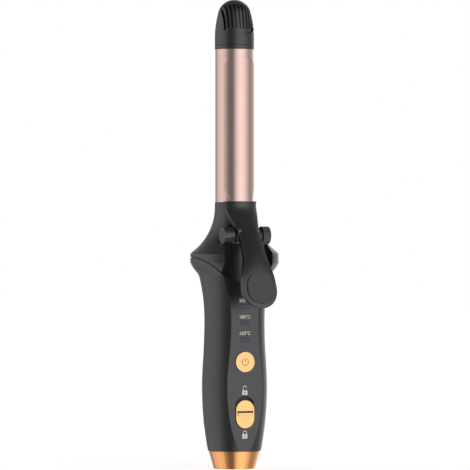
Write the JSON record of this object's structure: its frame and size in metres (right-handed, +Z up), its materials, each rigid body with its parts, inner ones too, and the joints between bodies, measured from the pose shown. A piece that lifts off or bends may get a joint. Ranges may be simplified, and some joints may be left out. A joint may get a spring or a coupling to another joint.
{
  "type": "curling iron",
  "caption": "Cordless hair curling iron with a spring clamp worked by a thumb lever, flared neck guard, cool tip, power button and lock slider; stands on its end cap.",
  "frame": {"origin": "centre of the end cap's flat base, on the barrel axis", "axes": "+Z up the barrel axis to the cool tip; -Y towards the control panel, lever and clamp; +X to the right when the panel faces the viewer"},
  "size_m": [0.0576, 0.0748, 0.3048],
  "materials": {
    "handle_black": "satin moulded black",
    "neck_black": "satin moulded black, heat resistant",
    "lever_black": "satin moulded black, heat resistant",
    "pad_black": "fine matt texture",
    "tip_black": "satin moulded black, heat resistant",
    "base_black": "fine matt texture",
    "barrel_rose_gold": "satin, ceramic-coated rose gold",
    "clip_rose_gold": "satin, ceramic-coated rose gold",
    "cap_gold": "polished, anodised copper gold",
    "control_gold": "satin metallised gold",
    "window_blue": "clear dark blue light guide",
    "hinge_black": "black oxide",
    "steel": "zinc plated",
    "nickel": "nickel strip",
    "board_green": "solder mask",
    "chip_black": "moulded chip",
    "lamp_white": "lamp body",
    "switch_black": "switch body",
    "switch_white": "switch plunger",
    "cell_can": "sleeved cell",
    "frame_grey": "moulded frame",
    "mount_brown": "high-temperature plastic",
    "spreader_aluminium": "extruded",
    "heater_white": "ceramic",
    "sensor_amber": "glass bead",
    "lead_white": "silicone insulation"
  },
  "bodies": {
    "iron": {"barrel_mount": "mount_brown", "barrel_tube": "barrel_rose_gold", "base_plate": "base_black", "battery_cell": "cell_can", "battery_cradle": "frame_grey", "battery_tabs": "nickel", "board_screws": "steel", "bracket_screws": "steel", "ceramic_heater": "heater_white", "charging_board": "board_green", "charging_chip": "chip_black", "control_board": "board_green", "cool_tip": "tip_black", "end_cap": "cap_gold", "handle_front_shell": "handle_black", "handle_rear_shell": "handle_black", "heat_spreader_front": "spreader_aluminium", "heat_spreader_rear": "spreader_aluminium", "heater_driver": "chip_black", "heater_lead_left": "lead_white", "heater_lead_right": "lead_white", "hinge_bracket": "steel", "hinge_pin": "hinge_black", "hinge_spacer": "hinge_black", "indicator_lamps": "lamp_white", "indicator_windows": "window_blue", "inner_frame": "frame_grey", "knurled_nut": "hinge_black", "neck_guard": "neck_black", "power_switch": "switch_black", "shell_screws": "steel", "slide_switch": "switch_black", "temperature_sensor": "sensor_amber", "tip_collar": "tip_black", "torsion_spring": "steel", "usb_port_shell": "steel", "usb_port_tongue": "chip_black"},
    "clamp": {"thumb_lever": "lever_black", "thumb_pad": "pad_black", "clip_plate": "clip_rose_gold", "clip_rivets": "steel"},
    "power_key": {"power_button": "control_gold", "switch_plunger": "switch_white"},
    "lock_key": {"lock_slider": "control_gold", "lock_carrier": "switch_black", "slide_contact": "switch_white"}
  },
  "joints": [
    {"name": "clamp_pivot", "type": "hinge", "parent": "iron", "child": "clamp", "pos_m": [0, -0.0174, 0.1515], "axis": [1, 0, 0], "range_deg": [0, 20], "stiffness_Nm_per_rad": 0.3, "springref_deg": -28.65, "deforming": ["torsion_spring"]},
    {"name": "power_press", "type": "slide", "parent": "iron", "child": "power_key", "axis": [0, 1, 0], "range_m": [0, 0.0005], "stiffness_N_per_m": 400, "springref_m": -0.001},
    {"name": "lock_slide", "type": "slide", "parent": "iron", "child": "lock_key", "axis": [0, 0, 1], "range_m": [0, 0.0022]}
  ]
}
